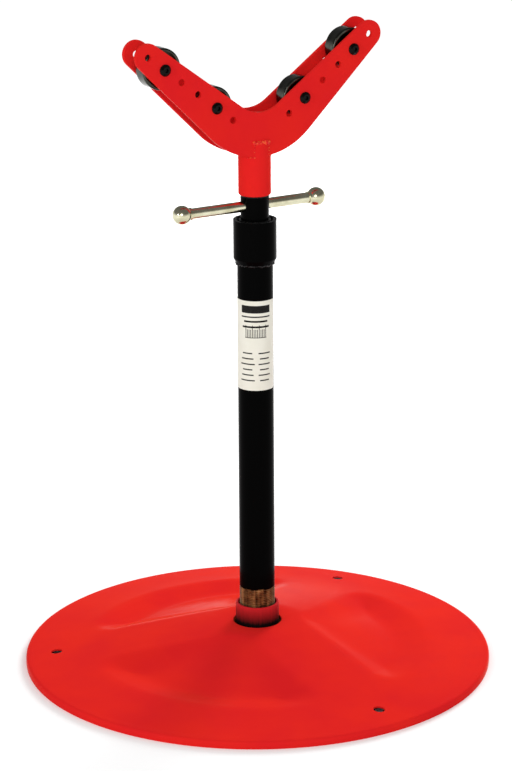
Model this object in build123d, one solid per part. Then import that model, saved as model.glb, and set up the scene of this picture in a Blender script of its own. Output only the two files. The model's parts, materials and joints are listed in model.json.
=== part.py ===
from build123d import *
from math import acos, atan2, cos, hypot, pi, radians, sin, sqrt
import os

# Adjustable pipe stand: a stamped round base, a pipe post with a screw-driven
# lift tube inside it, and a V-shaped head with four rollers that carry the pipe.
# Millimetres, +Z up, origin on the floor under the post's axis.
# The head's plates and the turning bar lie along X.

# Base dish, a steel stamping
base_radius = 279.4
dish_sheet = 2.0
rim_height = 8.6
rim_bend = 4.0
crown_height = 45.0
crown_radius = 50.0
rib_start_angle = 34.9
rib_count = 3
rib_half_width = 44.0
rim_to_petal = 75.4
petal_edge_height = 17.0
petal_floor_drop = 5.0
petal_apex_depth = 2.8
petal_corner_round = 34.0
petal_apex_round = 15.0
petal_wall_slope = 0.30
petal_shoulder = 3.0
tool_overrun = 2.5
loop_points = 36
loop_precision = 0.0001
anchor_from_rim = 36.8
anchor_hole_radius = 6.75

# Hub plate and threaded collar that hold the post
hub_plate_radius = 47.0
hub_plate_thickness = 6.0
hub_plate_weld_count = 6
hub_plate_weld_radius = 2.5
collar_radius = 25.9
collar_length = 25.4
collar_top_taper = 0.9
collar_mouth_bevel = 1.6
collar_hole_gap = 2.1
collar_weld_leg = 1.6

# Post, 1-1/4 inch pipe
post_radius = 21.08
post_wall = 3.56
post_length = 471.0
post_lift_off_plate = 1.0
thread_clearance = 0.1

# Coupling on the post's upper end, with the guide bush in its mouth
coupling_radius = 25.4
coupling_length = 52.4
coupling_overlap = 26.0
coupling_chamfer_height = 6.5
coupling_chamfer_width = 3.4
coupling_mouth_bevel = 1.2
coupling_weld_radius = 2.2
bush_length = 20.4
bush_fit = 0.05

# Plug in the post's lower end, and the fixed screw that stands on it
plug_length = 10.0
screw_radius = 12.7
screw_spigot_radius = 9.5
screw_end_gap = 42.4
screw_end_bevel = 2.0

# Lift tube, 1 inch pipe, with its nut, stop ring and pivot plug
tube_radius = 16.7
tube_wall = 3.38
tube_shown = 27.4
nut_length = 30.0
nut_above_plug = 3.0
stop_ring_wall = 1.9
stop_ring_length = 5.3
pivot_plug_depth = 29.0
pivot_pin_radius = 11.0
pivot_pin_length = 38.0
pivot_pin_bevel = 1.5

# Clearances of what moves
running_fit = 0.08
rest_gap = 0.3
face_gap = 0.1

# Turning bar with a ball on each end
bar_radius = 6.35
bar_ball_spacing = 178.0
bar_offset = -6.7
bar_height_on_tube = 16.3
ball_radius = 11.1
ball_ring_radius = 7.5
ball_ring_reach = 11.2
ball_bore_depth = 8.0

# Head: neck, two V plates and their welds
washer_thickness = 1.6
washer_inset = 0.4
neck_radius = 19.05
neck_length = 63.5
neck_bottom_round = 2.3
neck_bore_spare = 3.0
plate_thickness = 4.76
plate_gap = 23.8
plate_edge_round = 0.8
plate_bottom_above_neck_base = 46.8
plate_bottom_radius = 90.0
plate_web_height = 51.9
notch_radius = 40.0
arm_angle = 37.26
arm_line_above_plate_bottom = 18.6
tip_radius = 15.9
first_hole_distance = 46.3
hole_spacing = 26.25
middle_hole_spacing = 29.9
holes_per_arm = 6
axle_hole_radius = 4.1
roller_holes = (1, 4)
neck_weld_radius = 2.6

# Rollers on their axle bolts
roller_radius = 23.8
roller_width = 19.0
roller_edge_round = 2.0
roller_recess_depth = 3.5
roller_rim_wall = 3.6
roller_hub_radius = 9.0
roller_bush_radius = 6.35
bolt_radius = 3.97
bolt_head_radius = 6.75
bolt_head_height = 3.6
bolt_head_flat_radius = 4.2
bolt_socket_across_flats = 4.76
bolt_socket_depth = 2.2
bolt_end_beyond_nut = 2.0
nut_across_flats = 12.7
nut_height = 6.7
nut_corner_bevel = 0.8
side_washer_radius = 8.4

# Heights that follow from the sizes above
plate_seat_height = crown_height - dish_sheet
post_bottom = plate_seat_height + post_lift_off_plate
post_top = post_bottom + post_length
coupling_bottom = post_top - coupling_overlap
coupling_top = coupling_bottom + coupling_length
bush_top = post_top + bush_length
plug_top = post_bottom + plug_length
nut_bottom = plug_top + nut_above_plug
nut_top = nut_bottom + nut_length
tube_top = coupling_top + tube_shown
bar_height = coupling_top + bar_height_on_tube
washer_bottom = tube_top + face_gap
neck_bottom = washer_bottom + washer_thickness + face_gap
neck_top = neck_bottom + neck_length
plate_bottom = neck_bottom + plate_bottom_above_neck_base
notch_bottom = plate_bottom + plate_web_height
arm_origin_height = plate_bottom + arm_line_above_plate_bottom

# Radii and depths that follow
rib_spacing = 360 / rib_count
petal_angle = rib_start_angle + rib_spacing / 2
petal_outer = base_radius - rim_to_petal
rib_foot = petal_outer + petal_shoulder
rib_slope = (crown_height - petal_edge_height) / (rib_foot - crown_radius)
floor_edge_radius = petal_outer - petal_corner_round
floor_edge_height = petal_edge_height - petal_floor_drop
floor_rise = crown_height - petal_apex_depth - floor_edge_height
floor_slope = floor_rise / (floor_edge_radius - crown_radius)
anchor_circle = base_radius - anchor_from_rim
bush_inner = tube_radius + running_fit
coupling_bore = post_radius + thread_clearance
plate_inner = plate_gap / 2
plate_outer = plate_inner + plate_thickness
nut_outer_face = plate_outer + nut_height


def ring(outer, inner, bottom, top):
    """Upright ring or tube between two heights."""
    section = Circle(outer) - Circle(inner)
    return extrude(Pos(0, 0, bottom) * section, amount=top - bottom)


def turned(points):
    """Solid of revolution about the post's axis from a radius and height outline."""
    outline = Polyline(*points, close=True)
    return revolve(Plane.XZ * make_face(outline), Axis.Z)


def cross_cylinder(radius, x, z, front, rear):
    """Cylinder along Y between two depths, such as an axle or its hole."""
    start = Plane(origin=(x, front, z), x_dir=(1, 0, 0), z_dir=(0, 1, 0))
    return extrude(start * Circle(radius), amount=rear - front)


# Base


def rib_height(radius):
    """Height of the dish's top along its ribs, at a radius beyond the crown."""
    return crown_height - rib_slope * (radius - crown_radius)


def floor_height(radius):
    """Height of the petals' floors, which rise towards the crown."""
    return floor_edge_height + floor_slope * (floor_edge_radius - radius)


def rounded_corner(first_margin, second_margin, radius):
    """Distance inside a corner of two edges, from the distance inside each one."""
    first_short = max(radius - first_margin, 0)
    second_short = max(radius - second_margin, 0)
    if first_short == second_short == 0:
        return min(first_margin, second_margin)
    return radius - hypot(first_short, second_short)


def inside_petal(along, across):
    """Distance inside a petal's rounded fan outline, negative outside it."""
    half = radians(rib_spacing / 2)
    left = along * sin(half) - across * cos(half) - rib_half_width
    right = along * sin(half) + across * cos(half) - rib_half_width
    outer = petal_outer - hypot(along, across)
    return rounded_corner(rounded_corner(left, right, petal_apex_round), outer, petal_corner_round)


def wall_height(along, across):
    """Height of a petal's sloping wall, which meets the rib's top at the fan outline."""
    return rib_height(hypot(along, across)) - petal_wall_slope * inside_petal(along, across)


def above_rib(along, across):
    """How far the wall, run on outwards, is above the height where the press tool ends it."""
    return wall_height(along, across) - rib_height(hypot(along, across)) - tool_overrun


def above_floor(along, across):
    """How far the wall, run on inwards, is above a level just under the petal's floor."""
    return wall_height(along, across) - floor_height(hypot(along, across)) + tool_overrun


def petal_middle():
    """Place on a petal's middle line where the run-on walls lie deepest below its floor."""
    return max(
        range(round(crown_radius), round(petal_outer)),
        key=lambda along: floor_height(along) - wall_height(along, 0),
    )


def petal_loop(limit, height):
    """Closed curve where a limit changes sign round the petal's middle, at a height."""
    centre = petal_middle()
    points = []
    for k in range(loop_points):
        direction = 2 * pi * k / loop_points
        near = 0
        far = 2 * petal_outer
        while far - near > loop_precision:
            middle = (near + far) / 2
            if limit(centre + middle * cos(direction), middle * sin(direction)) < 0:
                near = middle
            else:
                far = middle
        along = centre + near * cos(direction)
        across = near * sin(direction)
        points.append(Vector(along, across, height(along, across)))
    return Wire([Edge.make_spline(points, periodic=True)])


def petal_tool():
    """Tool that presses one petal: sloping walls round a conical floor."""
    tool_top = crown_height + 2 * tool_overrun
    walls = Solid.make_loft(
        [
            petal_loop(above_rib, lambda along, across: tool_top),
            petal_loop(above_rib, wall_height),
            petal_loop(above_floor, wall_height),
            petal_loop(above_floor, lambda along, across: 0),
        ],
        ruled=True,
    )
    over_floor = turned([
        (0, floor_height(0)),
        (base_radius, floor_height(base_radius)),
        (base_radius, 2 * crown_height),
        (0, 2 * crown_height),
    ])
    return walls & over_floor


def dish_form():
    """The dish's outer form as a filled solid, with its three pressed petals."""
    outline = Polyline(
        (0, 0),
        (base_radius, 0),
        (base_radius, rim_height),
        (rib_foot, petal_edge_height),
        (crown_radius, crown_height),
        (0, crown_height),
        close=True,
    )
    form = revolve(Plane.XZ * make_face(outline), Axis.Z)
    rim = form.edges().filter_by(GeomType.CIRCLE).group_by(Axis.Z)[1]
    form = fillet(rim, rim_bend)
    tool = petal_tool()
    for k in range(rib_count):
        form -= Rot(0, 0, petal_angle + rib_spacing * k) * tool
    return form


def make_base_dish():
    """Stamped base: the form less its own copy one sheet lower, with its holes."""
    form = dish_form()
    hollow = Pos(0, 0, -dish_sheet) * form
    inside = Cylinder(base_radius - dish_sheet, 4 * crown_height)
    dish = form - (hollow & inside)
    through = 2 * crown_height
    dish -= Cylinder(collar_radius + collar_hole_gap, through)
    for k in range(rib_count):
        angle = rib_start_angle + rib_spacing * k
        dish -= Rot(0, 0, angle) * Pos(anchor_circle, 0, 0) * Cylinder(anchor_hole_radius, through)
    return dish


def make_hub_plate():
    """Round plate under the crown that carries the collar."""
    low = plate_seat_height - hub_plate_thickness
    return extrude(Pos(0, 0, low) * Circle(hub_plate_radius), amount=hub_plate_thickness)


def make_hub_plate_welds(dish, plate):
    """Short weld beads that join the hub plate's edge to the underside of the dish."""
    bead_length = hub_plate_radius / 4
    beads = []
    for k in range(hub_plate_weld_count):
        angle = 360 * k / hub_plate_weld_count
        place = Rot(0, 0, angle) * Pos(hub_plate_radius, 0, plate_seat_height) * Rot(90, 0, 0)
        bead = Cylinder(hub_plate_weld_radius, bead_length)
        beads.append(place * bead - dish - plate)
    return Compound(children=[bead.solids().sort_by(SortBy.VOLUME)[-1] for bead in beads])


def make_base_collar():
    """Half coupling with a pipe thread, slightly narrower at its top and bevelled at its mouth."""
    top = plate_seat_height + collar_length
    bore = post_radius + thread_clearance
    return turned([
        (bore, plate_seat_height),
        (collar_radius, plate_seat_height),
        (collar_radius, top - collar_length / 2),
        (collar_radius - collar_top_taper, top),
        (bore + collar_mouth_bevel, top),
        (bore, top - collar_mouth_bevel),
    ])


def make_collar_weld():
    """Fillet weld between the collar's foot and the hub plate, in the dish's hole."""
    return turned([
        (collar_radius, plate_seat_height),
        (collar_radius + collar_weld_leg, plate_seat_height),
        (collar_radius, plate_seat_height + collar_weld_leg),
    ])


# Post and screw


def make_post_pipe():
    """Pipe post."""
    return ring(post_radius, post_radius - post_wall, post_bottom, post_top)


def make_top_coupling():
    """Coupling on the post's upper end, bevelled below and open above."""
    return turned([
        (coupling_bore, coupling_bottom),
        (coupling_radius - coupling_chamfer_width, coupling_bottom),
        (coupling_radius, coupling_bottom + coupling_chamfer_height),
        (coupling_radius, coupling_top),
        (coupling_bore + coupling_mouth_bevel, coupling_top),
        (coupling_bore, coupling_top - coupling_mouth_bevel),
    ])


def make_coupling_weld(coupling, post):
    """Weld bead round the foot of the coupling."""
    section = Plane.XZ * Pos(post_radius + coupling_weld_radius / 2, coupling_bottom) * Circle(
        coupling_weld_radius
    )
    bead = revolve(section, Axis.Z) - coupling - post
    bead -= ring(coupling_bore, post_radius / 2, coupling_bottom, coupling_top)
    return bead


def make_guide_bush():
    """Bush that guides the lift tube, seated on the post's upper end."""
    return ring(coupling_bore - bush_fit, bush_inner, post_top, bush_top)


def make_bottom_plug():
    """Plug welded into the post's lower end."""
    return ring(post_radius - post_wall - bush_fit, screw_spigot_radius + bush_fit, post_bottom, plug_top)


def make_lift_screw():
    """Fixed screw: its spigot is in the plug, and it ends under the lift tube's pivot plug."""
    top = tube_top - pivot_plug_depth - screw_end_gap
    return turned([
        (0, post_bottom),
        (screw_spigot_radius, post_bottom),
        (screw_spigot_radius, plug_top),
        (screw_radius, plug_top),
        (screw_radius, top - screw_end_bevel),
        (screw_radius - screw_end_bevel, top),
        (0, top),
    ])


# Lift tube


def bar_hole():
    """Hole through the lift tube for the turning bar."""
    start = Plane(origin=(-2 * tube_radius, 0, bar_height), x_dir=(0, 1, 0), z_dir=(1, 0, 0))
    return extrude(start * Circle(bar_radius + running_fit), amount=4 * tube_radius)


def make_lift_nut():
    """Nut on the lower end of the lift tube."""
    return ring(tube_radius, screw_radius + running_fit, nut_bottom, nut_top)


def make_lift_tube():
    """Tube that rises as it turns."""
    return ring(tube_radius, tube_radius - tube_wall, nut_top, tube_top) - bar_hole()


def make_stop_ring():
    """Ring on the tube that rests on the guide bush when the stand is fully lowered."""
    low = bush_top + rest_gap
    return ring(tube_radius + stop_ring_wall, tube_radius, low, low + stop_ring_length)


def make_pivot_plug():
    """Plug in the tube's upper end, with the pin on which the head swivels."""
    inner = tube_radius - tube_wall
    pin_top = tube_top + pivot_pin_length
    plug = turned([
        (0, tube_top - pivot_plug_depth),
        (inner, tube_top - pivot_plug_depth),
        (inner, tube_top),
        (pivot_pin_radius, tube_top),
        (pivot_pin_radius, pin_top - pivot_pin_bevel),
        (pivot_pin_radius - pivot_pin_bevel, pin_top),
        (0, pin_top),
    ])
    return plug - bar_hole()


def make_thrust_washer():
    """Washer between the turning tube and the head."""
    inner = pivot_pin_radius + running_fit
    return ring(tube_radius - washer_inset, inner, washer_bottom, washer_bottom + washer_thickness)


# Turning bar


def make_handle_bar():
    """Bar that slides in the lift tube's hole."""
    length = bar_ball_spacing - 2 * (ball_radius - ball_bore_depth)
    place = Pos(bar_offset, 0, bar_height) * Rot(0, 90, 0)
    return place * Cylinder(bar_radius, length)


def make_handle_ball(side):
    """Ball pressed on one end of the bar, with a short ring where it meets the bar."""
    ball = Sphere(ball_radius) + Pos(0, 0, ball_ring_reach / 2) * Cylinder(ball_ring_radius, ball_ring_reach)
    bore_bottom = ball_radius - ball_bore_depth
    bore_length = ball_ring_reach - bore_bottom
    ball -= Pos(0, 0, bore_bottom + bore_length / 2) * Cylinder(bar_radius, bore_length)
    centre = bar_offset + side * bar_ball_spacing / 2
    return Pos(centre, 0, bar_height) * Rot(0, -90 * side, 0) * ball


# Head


def hole_distances():
    """Distance of each axle hole along an arm, from the point where the arms' lines meet."""
    distances = [first_hole_distance]
    for k in range(1, holes_per_arm):
        gap = middle_hole_spacing if k == holes_per_arm // 3 else hole_spacing
        distances.append(distances[-1] + gap)
    return distances


def hole_place(side, index):
    """Place of an axle hole, as X and height."""
    distance = hole_distances()[index]
    angle = radians(arm_angle)
    return side * distance * cos(angle), arm_origin_height + distance * sin(angle)


def roller_places():
    """Name and place of each roller."""
    places = []
    for side, side_name in ((-1, "left"), (1, "right")):
        for index, place_name in zip(roller_holes, ("inner", "outer")):
            places.append((f"{side_name}_{place_name}", *hole_place(side, index)))
    return places


def plate_outline():
    """Outline of a V plate: rounded tips, a rounded notch and a round belly."""
    tip_x, tip_z = hole_place(1, holes_per_arm - 1)
    belly_z = plate_bottom + plate_bottom_radius
    notch_z = notch_bottom + notch_radius

    # The lower edge touches the belly and the tip from outside
    dx, dz = tip_x, tip_z - belly_z
    lower = atan2(dz, dx) - acos((plate_bottom_radius - tip_radius) / hypot(dx, dz))
    belly_end = (plate_bottom_radius * cos(lower), belly_z + plate_bottom_radius * sin(lower))
    tip_start = (tip_x + tip_radius * cos(lower), tip_z + tip_radius * sin(lower))

    # The upper edge touches the tip from above and the notch from below
    dx, dz = tip_x, tip_z - notch_z
    upper = atan2(dz, dx) + pi - acos((notch_radius + tip_radius) / hypot(dx, dz))
    tip_end = (tip_x + tip_radius * cos(upper), tip_z + tip_radius * sin(upper))
    notch_end = (-notch_radius * cos(upper), notch_z - notch_radius * sin(upper))

    middle = (lower + upper) / 2
    tip_far = (tip_x + tip_radius * cos(middle), tip_z + tip_radius * sin(middle))

    def mirrored(point):
        return (-point[0], point[1])

    edges = [
        ThreePointArc(mirrored(belly_end), (0, plate_bottom), belly_end),
        Line(belly_end, tip_start),
        ThreePointArc(tip_start, tip_far, tip_end),
        Line(tip_end, notch_end),
        ThreePointArc(notch_end, (0, notch_bottom), mirrored(notch_end)),
        Line(mirrored(notch_end), mirrored(tip_end)),
        ThreePointArc(mirrored(tip_end), mirrored(tip_far), mirrored(tip_start)),
        Line(mirrored(tip_start), mirrored(belly_end)),
    ]
    return make_face(edges)


def make_plate(rear_face):
    """One V plate, whose rear face is at the given depth, with its axle holes."""
    start = Plane(origin=(0, rear_face, 0), x_dir=(1, 0, 0), z_dir=(0, -1, 0))
    plate = extrude(start * plate_outline(), amount=plate_thickness)
    rims = plate.faces().filter_by(Axis.Y).edges()
    plate = fillet(rims, plate_edge_round)
    for side in (-1, 1):
        for index in range(holes_per_arm):
            x, z = hole_place(side, index)
            plate -= cross_cylinder(axle_hole_radius, x, z, -2 * plate_outer, 2 * plate_outer)
    return plate


def make_head_neck():
    """Neck: bored from below for the pivot pin, and slotted above for the plates."""
    neck = extrude(Pos(0, 0, neck_bottom) * Circle(neck_radius), amount=neck_length)
    neck = fillet(neck.edges().filter_by(GeomType.CIRCLE).sort_by(Axis.Z)[0], neck_bottom_round)
    bore_depth = tube_top + pivot_pin_length + neck_bore_spare - neck_bottom
    bore = Circle(pivot_pin_radius + running_fit)
    neck -= extrude(Pos(0, 0, neck_bottom) * bore, amount=bore_depth)
    for rear_face in (-plate_inner, plate_outer):
        start = Plane(origin=(0, rear_face, 0), x_dir=(1, 0, 0), z_dir=(0, -1, 0))
        neck -= extrude(start * plate_outline(), amount=plate_thickness)
    return neck


def make_neck_welds(neck, plates):
    """Weld beads along the neck's upper edge, one on each plate."""
    half_chord = sqrt(neck_radius**2 - plate_outer**2)
    beads = []
    for side in (-1, 1):
        middle = Pos(0, side * plate_outer, neck_top) * Rot(0, 90, 0)
        bead = middle * Cylinder(neck_weld_radius, 2 * half_chord)
        for end in (-1, 1):
            bead += Pos(end * half_chord, side * plate_outer, neck_top) * Sphere(neck_weld_radius)
        pieces = bead.cut(neck, *plates).solids()
        beads.append(pieces.sort_by(SortBy.VOLUME)[-1])
    return Compound(children=beads)


# Axles and rollers


def make_axle_bolt(x, z):
    """Button-head bolt through both plates, head at the front."""
    head_face = -plate_outer
    shank_length = nut_outer_face + bolt_end_beyond_nut - head_face
    shank = Cylinder(bolt_radius, shank_length, align=(Align.CENTER, Align.CENTER, Align.MIN))
    head = turned([
        (0, 0),
        (bolt_head_radius, 0),
        (bolt_head_radius, -bolt_head_height / 3),
        (bolt_head_flat_radius, -bolt_head_height),
        (0, -bolt_head_height),
    ])
    socket = RegularPolygon(bolt_socket_across_flats / 2, 6, major_radius=False)
    head -= extrude(Pos(0, 0, -bolt_head_height) * socket, amount=bolt_socket_depth)
    return Pos(x, head_face, z) * Rot(-90, 0, 0) * (shank + head)


def make_axle_nut(x, z):
    """Hexagon nut on the bolt's rear end."""
    hexagon = RegularPolygon(nut_across_flats / 2, 6, major_radius=False)
    nut = extrude(hexagon, amount=nut_height)
    corner_radius = nut_across_flats / sqrt(3)
    bevel = turned([
        (0, 0),
        (corner_radius, 0),
        (corner_radius, nut_height - nut_corner_bevel),
        (corner_radius - 2 * nut_corner_bevel, nut_height),
        (0, nut_height),
    ])
    nut = (nut & bevel) - Cylinder(bolt_radius + bush_fit, 4 * nut_height)
    return Pos(x, plate_outer, z) * Rot(-90, 0, 0) * nut


def make_side_washers(x, z):
    """Two washers that fill the gap between a roller and the plates."""
    thickness = (plate_gap - roller_width) / 2 - rest_gap
    washers = []
    for face, direction in ((-plate_inner, 1), (plate_inner, -1)):
        section = Circle(side_washer_radius) - Circle(bolt_radius + bush_fit)
        start = Plane(origin=(x, face, z), x_dir=(1, 0, 0), z_dir=(0, direction, 0))
        washers.append(extrude(start * section, amount=thickness))
    return washers


def make_roller(x, z):
    """Roller with rounded tread edges and dished sides."""
    half = roller_width / 2
    inner_rim = roller_radius - roller_rim_wall
    web = half - roller_recess_depth
    section = make_face(Polyline(
        (roller_bush_radius, -half),
        (roller_hub_radius, -half),
        (roller_hub_radius, -web),
        (inner_rim, -web),
        (inner_rim, -half),
        (roller_radius, -half),
        (roller_radius, half),
        (inner_rim, half),
        (inner_rim, web),
        (roller_hub_radius, web),
        (roller_hub_radius, half),
        (roller_bush_radius, half),
        close=True,
    ))
    corners = section.vertices().sort_by(Axis.X)[-2:]
    section = fillet(corners, roller_edge_round)
    roller = revolve(Plane.XZ * section, Axis.Z)
    return Pos(x, 0, z) * Rot(90, 0, 0) * roller


def make_roller_bush(x, z):
    """Bush pressed into a roller, which runs on the axle bolt."""
    section = Circle(roller_bush_radius) - Circle(bolt_radius + running_fit)
    start = Plane(origin=(x, -roller_width / 2, z), x_dir=(1, 0, 0), z_dir=(0, 1, 0))
    return extrude(start * section, amount=roller_width)


def group(shapes):
    """Identical loose pieces as one node of separate solids."""
    return Compound(children=list(shapes))


def build_nodes():
    """Every piece of the stand, by name."""
    nodes = {}
    nodes["base_dish"] = make_base_dish()
    nodes["hub_plate"] = make_hub_plate()
    nodes["hub_plate_welds"] = make_hub_plate_welds(nodes["base_dish"], nodes["hub_plate"])
    nodes["base_collar"] = make_base_collar()
    nodes["collar_weld"] = make_collar_weld()
    nodes["post_pipe"] = make_post_pipe()
    nodes["top_coupling"] = make_top_coupling()
    nodes["coupling_weld"] = make_coupling_weld(nodes["top_coupling"], nodes["post_pipe"])
    nodes["guide_bush"] = make_guide_bush()
    nodes["bottom_plug"] = make_bottom_plug()
    nodes["lift_screw"] = make_lift_screw()
    nodes["lift_nut"] = make_lift_nut()
    nodes["lift_tube"] = make_lift_tube()
    nodes["stop_ring"] = make_stop_ring()
    nodes["pivot_plug"] = make_pivot_plug()
    nodes["thrust_washer"] = make_thrust_washer()
    nodes["handle_bar"] = make_handle_bar()
    nodes["handle_ball_left"] = make_handle_ball(-1)
    nodes["handle_ball_right"] = make_handle_ball(1)
    nodes["front_plate"] = make_plate(-plate_inner)
    nodes["rear_plate"] = make_plate(plate_outer)
    plates = (nodes["front_plate"], nodes["rear_plate"])
    nodes["head_neck"] = make_head_neck()
    nodes["neck_welds"] = make_neck_welds(nodes["head_neck"], plates)
    places = roller_places()
    nodes["axle_bolts"] = group(make_axle_bolt(x, z) for _, x, z in places)
    nodes["axle_nuts"] = group(make_axle_nut(x, z) for _, x, z in places)
    nodes["side_washers"] = group(w for _, x, z in places for w in make_side_washers(x, z))
    for name, x, z in places:
        nodes[f"roller_{name}"] = make_roller(x, z)
        nodes[f"roller_bush_{name}"] = make_roller_bush(x, z)
    return nodes


os.makedirs("parts", exist_ok=True)
for node_name, shape in build_nodes().items():
    export_step(shape, f"parts/{node_name}.step")
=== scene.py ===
import json
from math import atan2, cos, hypot, pi, radians, sin, sqrt

import bmesh
import bpy
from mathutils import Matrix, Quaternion, Vector, noise


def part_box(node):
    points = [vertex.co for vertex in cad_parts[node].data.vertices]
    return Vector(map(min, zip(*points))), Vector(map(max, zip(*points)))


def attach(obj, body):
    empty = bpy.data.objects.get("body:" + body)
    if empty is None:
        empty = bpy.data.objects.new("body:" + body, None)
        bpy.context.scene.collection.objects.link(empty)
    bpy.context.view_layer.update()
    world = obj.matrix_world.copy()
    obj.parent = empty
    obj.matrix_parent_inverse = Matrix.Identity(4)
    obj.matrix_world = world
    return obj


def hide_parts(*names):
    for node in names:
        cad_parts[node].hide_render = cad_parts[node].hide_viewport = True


# Pipe stand: red enamelled dish and head, black post, zinc-plated turning bar,
# dark steel rollers. Metres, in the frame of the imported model.

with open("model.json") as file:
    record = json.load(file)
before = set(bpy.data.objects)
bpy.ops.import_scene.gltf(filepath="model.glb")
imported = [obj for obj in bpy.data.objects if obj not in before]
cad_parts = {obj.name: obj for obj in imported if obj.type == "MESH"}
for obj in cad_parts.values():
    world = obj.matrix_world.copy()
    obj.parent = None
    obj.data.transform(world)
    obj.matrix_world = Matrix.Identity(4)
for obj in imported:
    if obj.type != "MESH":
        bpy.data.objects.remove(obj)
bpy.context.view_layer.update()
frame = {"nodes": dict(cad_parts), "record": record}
MM = 0.001
MERGE_DISTANCE = 0.01 * MM

# Largest angle in degrees between faces that are shaded as one
SMOOTH_ANGLE = 35
DISH_SMOOTH_ANGLE = 40
WELD_SMOOTH_ANGLE = 180

# Pressed dish
dish_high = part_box("base_dish")[1]
RIM_RADIUS = dish_high.x
CROWN_HEIGHT = dish_high.z
SHEET = 2.0 * MM
RIM_HEIGHT = 8.6 * MM
RIM_BEND = 4.0 * MM
CROWN_RADIUS = 50.0 * MM
HUB_HOLE = 28.0 * MM
RIB_COUNT = 3
RIB_START = radians(34.9)
RIB_HALF_WIDTH = 44.0 * MM
PETAL_OUTER = RIM_RADIUS - 75.4 * MM
PETAL_EDGE_HEIGHT = 17.0 * MM
PETAL_FLOOR_DROP = 5.0 * MM
PETAL_FLOOR_SLOPE = 0.252
PETAL_CORNER_ROUND = 34.0 * MM
PETAL_APEX_ROUND = 15.0 * MM
PETAL_WALL_SLOPE = 0.30
RIB_FOOT = PETAL_OUTER + 3.0 * MM
ANCHOR_CIRCLE = RIM_RADIUS - 36.8 * MM
ANCHOR_HOLE = 6.75 * MM
ANCHOR_HOLE_SIDES = 40
PUNCH_LENGTH = 4 * CROWN_HEIGHT
SOFT_CREST = 2.2 * MM
SOFT_FLOOR = 4.0 * MM
HUB_LIP = 1.4 * MM
HUB_LIP_STEPS = 5
DISH_SECTORS = 288
DISH_RING_STEP = 2.4 * MM
BEND_STEPS = 5
PRESS_MARGIN = 0.1 * MM
HUB_PLATE_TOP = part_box("hub_plate")[1].z

# Post: bare steel pipe, its thread and its film of paint
post_low, post_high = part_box("post_pipe")
collar_low, collar_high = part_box("base_collar")
coupling_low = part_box("top_coupling")[0]
POST_RADIUS = post_high.x
POST_WALL = 3.56 * MM
POST_SIDES = 128
PAINT_FILM = 0.16 * MM
PAINT_GAP = 0.04 * MM
PAINT_EDGE = collar_high.z + 21.5 * MM
PAINT_EDGE_WAVE = 1.0 * MM
PAINT_EDGE_WAVES = 2.0
PAINT_END_IN_COUPLING = 3.0 * MM
PIPE_THREAD_PITCH = 25.4 * MM / 11.5
PIPE_THREAD_DEPTH = 1.3 * MM
PIPE_THREAD_RUN_OUT = 3.0 * MM
THREAD_FLAT = 0.16
THREAD_FILL = 0.98
THREAD_STEPS = 48

# Lift screw
screw_low, screw_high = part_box("lift_screw")
SCREW_RADIUS = screw_high.x
SCREW_PITCH = 5.08 * MM
SCREW_THREAD_DEPTH = 2.54 * MM
SCREW_SPIGOT_RADIUS = 9.5 * MM
SCREW_SPIGOT_TOP = 54.0 * MM
SCREW_END_BEVEL = 2.0 * MM
SCREW_THREAD_FLAT = 0.4
SCREW_SIDES = 64

# Label, and its print measured down from the label's top
LABEL_BOTTOM = 339.6 * MM
LABEL_TOP = 447.9 * MM
LABEL_HEIGHT = LABEL_TOP - LABEL_BOTTOM
LABEL_MIDDLE = (LABEL_TOP + LABEL_BOTTOM) / 2
LABEL_TURN = radians(-130.0)
LABEL_WIDTH = 62.0 * MM
LABEL_CORNER = 2.5 * MM
LABEL_THICKNESS = 0.15 * MM
LABEL_LIFT = 0.05 * MM
SHEET_STEP = 0.9 * MM
PRINT_THICKNESS = 0.04 * MM
PRINT_ACROSS = 4.0 * MM
PRINT_LINE = 0.8 * MM
HEADER_HEIGHT = 9.0 * MM
HEADER_WIDTH = 36.0 * MM
HEADER_DROP = 10.0 * MM
HEADER_RULE = 1.6 * MM
TITLE_DROP = 24.5 * MM
TITLE_LINE = 2.2 * MM
TITLE_SHARES = (0.80, 0.92)
SCALE_DROP = 44.0 * MM
SCALE_TICKS = 13
SCALE_PITCH = 2.0 * MM
SCALE_LONG = 15.0 * MM
SCALE_SHORT = 10.0 * MM
SCALE_LONG_EVERY = 4
ROWS_DROP = 63.0 * MM
ROW_PITCH = 6.6 * MM
ROW_DASH = 1.5 * MM
ROW_COUNT = 6
LEFT_DASH_SHARES = (0.34, 0.42, 0.50)
RIGHT_DASH_SHARES = (0.42, 0.33)

# Welds
COUPLING_WELD_SCALE = 1.7 * MM
COUPLING_WELD_PITCH = 2.9 * MM
COUPLING_WELD_OUT = 0.5 * MM
COUPLING_WELD_RISE = 0.6 * MM
NECK_WELD_SCALE = 1.8 * MM
NECK_SIDE_SCALE = 1.1 * MM
NECK_END_SCALE = 2.7 * MM
NECK_WELD_PITCH = 3.6 * MM
WELD_VOXEL = 0.3 * MM
WELD_UNEVEN = 0.5
WELD_UNEVEN_STEP = 1.7
WELD_UNEVEN_LANE = (0.3, 0.6)
WELD_WANDER = 0.8 * MM
WELD_WANDER_STEP = 0.9
WELD_WANDER_LANE = (4.1, 2.2)
WELD_WANDER_SEED = 1
WELD_SCALE_SEGMENTS = 16
WELD_SCALE_RINGS = 10

# Painted shade round the foot of the collar, on the dish and up the collar
FOOT_SHADE_RADIUS = 26.3 * MM
FOOT_SHADE_HEIGHT = 44.3 * MM
FOOT_SHADE_BLACK = 2.2 * MM
FOOT_SHADE_FADED = 4.4 * MM
FOOT_SHADE_UNEVEN = 1.2 * MM
FOOT_SHADE_RUN = 7.0 * MM
COLLAR_SHADE_BLACK = 51.0 * MM
COLLAR_SHADE_END = 77.0 * MM

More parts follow.
